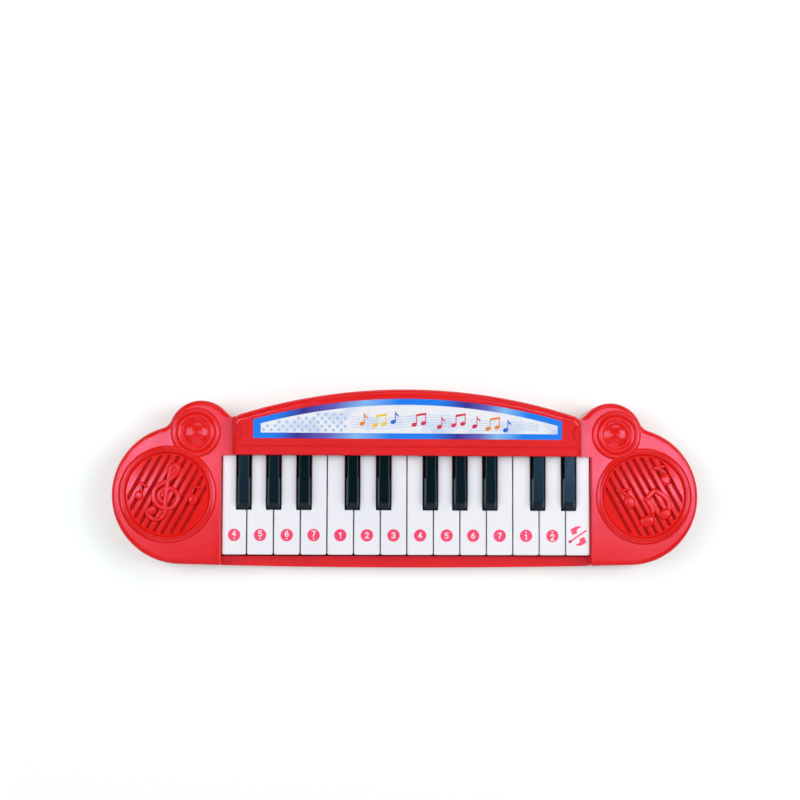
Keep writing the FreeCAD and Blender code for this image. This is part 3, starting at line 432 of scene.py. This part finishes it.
def piece(name, vertices, faces, material, body, smooth=False):
    """A new mesh object that rides on a body and takes the finish it is given."""
    mesh = bpy.data.meshes.new(name)
    mesh.from_pydata(vertices, [], faces)
    mesh.update()
    mesh.materials.append(material)
    if smooth:
        mesh.shade_smooth()
    thing = bpy.data.objects.new(name, mesh)
    bpy.context.scene.collection.objects.link(thing)
    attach(thing, body)


def circle(x, y, radius):
    turn = 2 * math.pi / round_steps
    return [(x + radius * math.cos(i * turn), y + radius * math.sin(i * turn)) for i in range(round_steps)]


def ellipse(x, y, radii, angle):
    points = []
    turn = math.radians(angle)
    for along, across in circle(0.0, 0.0, 1.0):
        along *= radii[0]
        across *= radii[1]
        points.append((x + along * math.cos(turn) - across * math.sin(turn),
                       y + along * math.sin(turn) + across * math.cos(turn)))
    return points


def slab(vertices, faces, outline, surface, low, high):
    """Adds a thin flat print to a mesh. It reaches from low to high above a surface."""
    start = len(vertices)
    count = len(outline)
    vertices += [(x, y, surface(x, y) + low) for x, y in outline]
    vertices += [(x, y, surface(x, y) + high) for x, y in outline]
    faces.append([start + i for i in reversed(range(count))])
    faces.append([start + count + i for i in range(count)])
    for i in range(count):
        after = (i + 1) % count
        faces.append([start + i, start + after, start + count + after, start + count + i])


def prints(name, outlines, surface, layer, material, body):
    """One mesh of flat prints on a surface. Layer counts the prints below it."""
    vertices = []
    faces = []
    lift = print_lift + layer * print_layer
    for outline in outlines:
        slab(vertices, faces, outline, surface, -print_sink, lift)
    piece(name, vertices, faces, material, body)


def smooth_path(points):
    """A round curve through the points, as Catmull and Rom draw it."""
    points = [Vector(point) for point in points]
    padded = [2 * points[0] - points[1]] + points + [2 * points[-1] - points[-2]]
    path = []
    for a, b, c, d in zip(padded, padded[1:], padded[2:], padded[3:]):
        for step in range(curve_steps):
            t = step / curve_steps
            path.append(0.5 * (2 * b + (c - a) * t + (2 * a - 5 * b + 4 * c - d) * t * t
                               + (3 * b - a - 3 * c + d) * t ** 3))
    path.append(points[-1])
    return path


def headings(path):
    """The direction of a path at each of its points."""
    starts = [path[0]] + path[:-1]
    ends = path[1:] + [path[-1]]
    return [(end - start).normalized() for start, end in zip(starts, ends)]


def sideways(heading):
    return Vector((-heading.y, heading.x))


def stroke_sections(path, width):
    """The places along a stroke with round ends, each with its heading and its share of the full size."""
    turns = headings(path)
    quarter = [math.pi / 2 * i / end_steps for i in range(end_steps + 1)]
    sections = []
    for angle in quarter[:-1]:
        sections.append((path[0] - turns[0] * width / 2 * math.cos(angle), turns[0], math.sin(angle)))
    for place, heading in zip(path, turns):
        sections.append((place, heading, 1.0))
    for angle in quarter[1:]:
        sections.append((path[-1] + turns[-1] * width / 2 * math.sin(angle), turns[-1], math.cos(angle)))
    return sections


def ridge(vertices, faces, points, width, base, height):
    """Adds a raised stroke with a flat back, soft edges and round ends to a mesh."""
    sections = stroke_sections(smooth_path(points), width)
    first = len(vertices)
    for place, heading, size in sections:
        for step in range(relief_steps):
            angle = math.pi * step / (relief_steps - 1)
            side = place + sideways(heading) * (width / 2 * size * math.cos(angle))
            vertices.append((side.x, side.y, base + height * size * (1 - math.cos(angle) ** back_power)))
    for row in range(len(sections) - 1):
        for step in range(relief_steps):
            after = (step + 1) % relief_steps
            a = first + row * relief_steps
            b = a + relief_steps
            faces.append([a + step, b + step, b + after, a + after])


def dome(vertices, faces, middle, radii, angle, base, height):
    """Adds a round note head to a mesh."""
    first = len(vertices)
    for ring in range(relief_steps):
        slope = math.pi / 2 * ring / relief_steps
        share = math.cos(slope)
        outline = ellipse(middle[0], middle[1], (radii[0] * share, radii[1] * share), angle)
        vertices += [(x, y, base + height * (1 - share ** back_power)) for x, y in outline]
    for ring in range(relief_steps - 1):
        for i in range(round_steps):
            after = (i + 1) % round_steps
            a = first + ring * round_steps
            b = a + round_steps
            faces.append([a + i, a + after, b + after, b + i])
    top = first + (relief_steps - 1) * round_steps
    faces.append([top + i for i in range(round_steps)])
    faces.append([first + i for i in reversed(range(round_steps))])


# Numbers on the keys

def key_middle(name):
    low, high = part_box(name)
    return (low[0] + high[0]) / 2


def key_top(name):
    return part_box(name)[1][2]


def on_key(name):
    """A function that gives the height of a key's flat top at any place."""
    top = key_top(name)
    return lambda x, y: top


def key_number(index, number):
    name = "white_key_%02d" % (index + 1)
    x = key_middle(name)
    surface = on_key(name)
    disc = circle(x, number_disc_y, number_disc_radius)
    prints("number_disc_%02d" % (index + 1), [disc], surface, 0, number_ink, name)
    shift = 0.0
    if index in low_octave:
        shift = number_dotted_shift
    if index in high_octave:
        shift = -number_dotted_shift
    middle = Vector((x, number_disc_y + shift))
    base = key_top(name) + print_lift / 2
    height = print_lift / 2 + print_layer
    vertices = []
    faces = []
    for points in numeral_shares[number]:
        placed = [middle + Vector(point) * number_height for point in points]
        ridge(vertices, faces, placed, number_stroke, base, height)
    if shift:
        dot_y = number_disc_y - math.copysign(number_dot_reach, shift)
        dome(vertices, faces, (x, dot_y), (number_dot_radius, number_dot_radius), 0.0, base, height)
    piece("number_%02d" % (index + 1), vertices, faces, white_ink, name)


def turned_bar(middle, along, length, width):
    across = sideways(along)
    corners = ((-1, -1), (1, -1), (1, 1), (-1, 1))
    return [tuple(middle + along * (length / 2 * i) + across * (width / 2 * j)) for i, j in corners]


def mode_key_sign():
    """Two curved arrows round a bar with a round head, on the last white key."""
    name = "white_key_14"
    middle = Vector((key_middle(name) + sign_shift, number_disc_y))
    along = Vector((math.cos(math.radians(bar_angle)), math.sin(math.radians(bar_angle))))
    outlines = [[tuple(middle + Vector(point) * side * mm) for point in arrow_points] for side in (-1, 1)]
    outlines.append(turned_bar(middle, along, bar_length, bar_width))
    outlines.append(circle(*(middle - along * bar_length / 2), bar_head_radius))
    prints("mode_key_sign", outlines, on_key(name), 0, number_ink, name)


for index, number in enumerate(key_numbers):
    key_number(index, number)
mode_key_sign()


# Label art

label_low, label_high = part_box("label_sticker")


def label_top(x, y):
    return label_high[2] - (label_high[1] - y) * math.tan(math.radians(console_tilt))


def bow_y(x, back, drop, half):
    """The label's bowed back edge, as an arc that falls by drop at half."""
    radius = (half * half + drop * drop) / (2 * drop)
    return back - radius + math.sqrt(radius * radius - x * x)


def field_back(x):
    return bow_y(x, label_high[1] - field_back_gap, label_bow, label_high[0])


def field_outline():
    left = label_low[0] + field_left_gap
    right = label_high[0] - field_right_gap
    front = label_low[1] + field_front_gap
    points = [(left, front), (right, front)]
    for step in range(round_steps + 1):
        x = right + (left - right) * step / round_steps
        points.append((x, field_back(x)))
    return points


def ribbon(path, width):
    """The outline of a line of even width along a path of points."""
    left = []
    right = []
    for place, heading in zip(path, headings(path)):
        across = sideways(heading) * width / 2
        left.append(tuple(place + across))
        right.append(tuple(place - across))
    return left + right[::-1]


def stave():
    """Waving lines that draw together where the field is narrow."""
    front = label_low[1] + field_front_gap
    outlines = []
    for line in range(stave_lines):
        path = []
        for step in range(stave_steps + 1):
            x = stave_start + (stave_end - stave_start) * step / stave_steps
            room = field_back(x) - front
            narrow = min(1.0, room / (field_back(0.0) - front) + stave_least_share)
            middle = front + room * stave_rise_share
            wave = stave_wave * math.sin(2 * math.pi * x / stave_wave_length)
            offset = (line - (stave_lines - 1) / 2) * stave_pitch + wave
            path.append(Vector((x, middle + narrow * offset)))
        outlines.append(ribbon(path, stave_width))
    return outlines


def dots():
    """Staggered rows of dots over the left part of the field."""
    left = label_low[0] + field_left_gap + dot_margin
    front = label_low[1] + field_front_gap + dot_margin
    outlines = []
    for row in range(round((label_high[1] - front) / (dot_pitch / 2))):
        for column in range(round((dots_end - left) / dot_pitch) + 1):
            x = left + dot_pitch * (column + (row % 2) / 2)
            y = front + row * dot_pitch / 2
            if y < field_back(x) - dot_margin:
                outlines.append(circle(x, y, dot_radius))
    return outlines


def stem(x, y, length):
    half = stem_width / 2
    return [(x - half, y), (x + half, y), (x + half, y + length), (x - half, y + length)]


def head_side(x):
    """Where the stem stands beside a note's head."""
    return x + head_radii[0] - stem_width / 2


def single_note(x, y):
    foot = head_side(x)
    top = Vector((foot, y + stem_length))
    flag = [tuple(top + Vector(point) * mm) for point in flag_points]
    return [ellipse(x, y, head_radii, head_angle), stem(foot, y, stem_length), flag]


def paired_notes(x, y):
    outlines = []
    tops = []
    for lift, place in ((0.0, x), (pair_rise, x + pair_gap)):
        foot = head_side(place)
        outlines.append(ellipse(place, y + lift, head_radii, head_angle))
        outlines.append(stem(foot, y + lift, stem_length))
        tops.append((foot, y + lift + stem_length))
    (left, left_top), (right, right_top) = tops
    half = stem_width / 2
    outlines.append([(left - half, left_top - beam_depth), (right + half, right_top - beam_depth),
                     (right + half, right_top), (left - half, left_top)])
    return outlines


prints("label_field", [field_outline()], label_top, 0, field_film, "case")
prints("label_stave", stave(), label_top, 1, pale_ink, "case")
prints("label_dots", dots(), label_top, 1, pale_ink, "case")
for colour, note_ink in note_inks.items():
    outlines = []
    for tone, x, y in label_singles:
        if tone == colour:
            outlines += single_note(x, y)
    for tone, x, y in label_pairs:
        if tone == colour:
            outlines += paired_notes(x, y)
    prints("label_notes_" + colour, outlines, label_top, 2, note_ink, "case")


# Raised signs on the grilles

def on_disc(vertices, middle):
    """The same points, lifted by the rise of the domed disc below them."""
    lifted = []
    for x, y, z in vertices:
        share = (Vector((x, y)) - middle).length / disc_radius
        lifted.append((x, y, z + disc_rise * (1 - share * share)))
    return lifted


def raised_signs(name, grille, strokes, heads):
    low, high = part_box(grille)
    middle = Vector(((low[0] + high[0]) / 2, (low[1] + high[1]) / 2))
    base = high[2] - disc_drop - relief_sink
    height = relief_height + relief_sink
    vertices = []
    faces = []
    for width, points in strokes:
        placed = [middle + Vector(point) * mm for point in points]
        ridge(vertices, faces, placed, width * mm, base, height)
    for place, radii, angle in heads:
        radii = (radii[0] * mm, radii[1] * mm)
        dome(vertices, faces, middle + Vector(place) * mm, radii, angle, base, height)
    piece(name, on_disc(vertices, middle), faces, looks["red_shell"], "case", smooth=True)


raised_signs("left_signs", "left_grille", left_strokes, left_heads)
raised_signs("right_signs", "right_grille", right_strokes, right_heads)


# Studio

def seen_by_eye(material):
    """A value of 1 for rays from the camera, straight or by way of gloss or glass."""
    path = add_node(material, "ShaderNodeLightPath")
    total = path.outputs["Is Camera Ray"]
    for name in ("Is Glossy Ray", "Is Transmission Ray"):
        larger = add_node(material, "ShaderNodeMath", operation="MAXIMUM")
        join(material, total, larger.inputs[0])
        join(material, path.outputs[name], larger.inputs[1])
        total = larger.outputs["Value"]
    return total


def matt(material, colour):
    node = add_node(material, "ShaderNodeBsdfDiffuse")
    node.inputs["Color"].default_value = colour
    return node.outputs["BSDF"]


def glow(material):
    """The floor's own brightness, which grows to white away from the toy."""
    coords = add_node(material, "ShaderNodeTexCoord")
    distance = add_node(material, "ShaderNodeVectorMath", operation="LENGTH")
    join(material, coords.outputs["Object"], distance.inputs[0])
    node = add_node(material, "ShaderNodeEmission")
    colour = shades(material, distance.outputs["Value"], (floor_glow, white), (glow_near, glow_far))
    join(material, colour, node.inputs["Color"])
    return node.outputs["Emission"]


def floor_material():
    """A pale matt floor that the camera sees as white, with the toy's shadow on it."""
    material, shader = new_material("floor")
    material.node_tree.nodes.remove(shader)
    bright = add_node(material, "ShaderNodeAddShader")
    join(material, matt(material, floor_seen), bright.inputs[0])
    join(material, glow(material), bright.inputs[1])
    mix = add_node(material, "ShaderNodeMixShader")
    join(material, seen_by_eye(material), mix.inputs["Fac"])
    join(material, matt(material, floor_pale), mix.inputs[1])
    join(material, bright.outputs["Shader"], mix.inputs[2])
    join(material, mix.outputs["Shader"], material.node_tree.nodes["Material Output"].inputs["Surface"])
    return material


def floor():
    half = floor_size / 2
    mesh = bpy.data.meshes.new("floor")
    corners = [(-half, -half, 0), (half, -half, 0), (half, half, 0), (-half, half, 0)]
    mesh.from_pydata(corners, [], [(0, 1, 2, 3)])
    mesh.materials.append(floor_material())
    thing = bpy.data.objects.new("floor", mesh)
    bpy.context.scene.collection.objects.link(thing)


def panel(number, place, size, level):
    """A lamp of even brightness that faces straight down."""
    lamp = bpy.data.lights.new("panel_%d" % number, "AREA")
    lamp.shape = "RECTANGLE"
    lamp.size, lamp.size_y = size
    lamp.energy = level * math.pi * size[0] * size[1]
    thing = bpy.data.objects.new(lamp.name, lamp)
    thing.location = place
    bpy.context.scene.collection.objects.link(thing)


def surroundings():
    world = bpy.data.worlds.new("surroundings")
    world.use_nodes = True
    sky = world.node_tree.nodes["Background"]
    sky.inputs["Strength"].default_value = world_level
    sky.inputs["Color"].default_value = white
    bpy.context.scene.world = world


def camera():
    lens = bpy.data.cameras.new("camera")
    lens.sensor_width = sensor_width
    lens.lens = sensor_width * focal_pixels / photo_pixels
    thing = bpy.data.objects.new("camera", lens)
    back = (Vector(camera_place) - Vector(camera_aim)).normalized()
    right = Vector((0.0, 1.0, 0.0)).cross(back).normalized()
    turn = Matrix((right, back.cross(right), back)).transposed().to_4x4()
    roll = Matrix.Rotation(math.radians(camera_roll), 4, "Z")
    thing.matrix_world = Matrix.Translation(camera_place) @ turn @ roll
    bpy.context.scene.collection.objects.link(thing)
    bpy.context.scene.camera = thing


floor()
for number, (place, size, level) in enumerate(panels):
    panel(number, place, size, level)
surroundings()
camera()
bpy.context.scene.view_settings.view_transform = "Standard"
